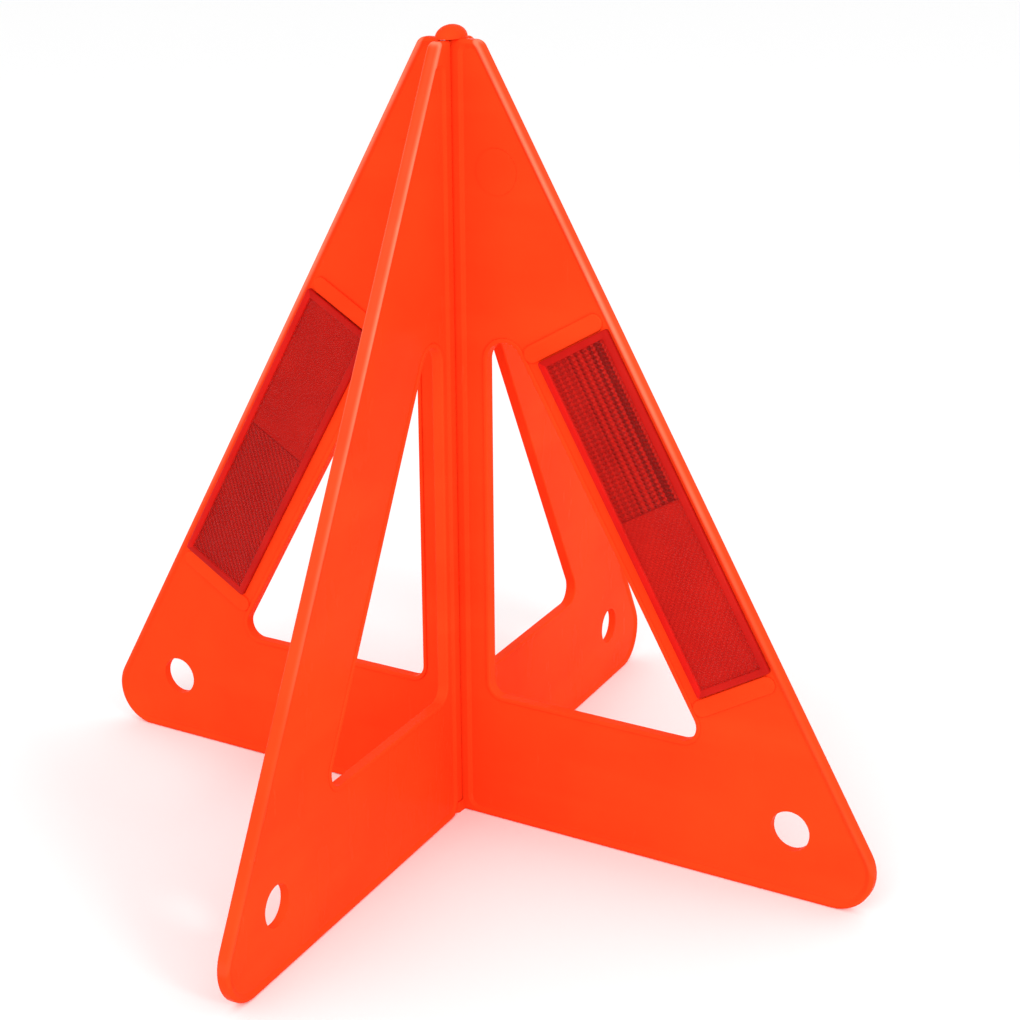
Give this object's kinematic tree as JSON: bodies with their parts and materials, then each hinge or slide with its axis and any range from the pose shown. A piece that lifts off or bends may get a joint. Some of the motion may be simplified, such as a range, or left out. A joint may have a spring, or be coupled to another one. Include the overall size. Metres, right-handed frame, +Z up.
{
  "type": "warning triangle",
  "caption": "Free-standing folding warning triangle of orange plastic: crossed triangular panels with windows, foot holes and red reflector strips; the wings hinge flat.",
  "frame": {"origin": "on the ground under the apex, at the centre of the footprint", "axes": "+Z up along the hinge line; the fixed panel spans X; the reflectors of the panel face -Y, and the near wing stands out towards -Y"},
  "size_m": [0.312, 0.3106, 0.2728],
  "materials": {
    "orange_plastic": "satin, moulded, fluorescent orange-red",
    "red_reflector": "clear gloss over red prismatic cells",
    "reflector_back": "matt red backing plate",
    "pin_steel": "plain drawn steel"
  },
  "bodies": {
    "panel": {"main_panel": "orange_plastic", "top_cap": "orange_plastic", "near_upper_pin": "pin_steel", "near_lower_pin": "pin_steel", "far_upper_pin": "pin_steel", "far_lower_pin": "pin_steel", "right_reflector_lens": "red_reflector", "right_reflector_back": "reflector_back", "left_reflector_lens": "red_reflector", "left_reflector_back": "reflector_back"},
    "near_leg": {"near_wing": "orange_plastic", "near_reflector_lens": "red_reflector", "near_reflector_back": "reflector_back"},
    "far_leg": {"far_wing": "orange_plastic", "far_reflector_lens": "red_reflector", "far_reflector_back": "reflector_back"}
  },
  "joints": [
    {"name": "near_wing_hinge", "type": "hinge", "parent": "panel", "child": "near_leg", "pos_m": [0, -0.0047, 0], "axis": [0, 0, 1], "range_deg": [-6, 82.5]},
    {"name": "far_wing_hinge", "type": "hinge", "parent": "panel", "child": "far_leg", "pos_m": [0, 0.0047, 0], "axis": [0, 0, 1], "range_deg": [-6, 82.5]}
  ]
}
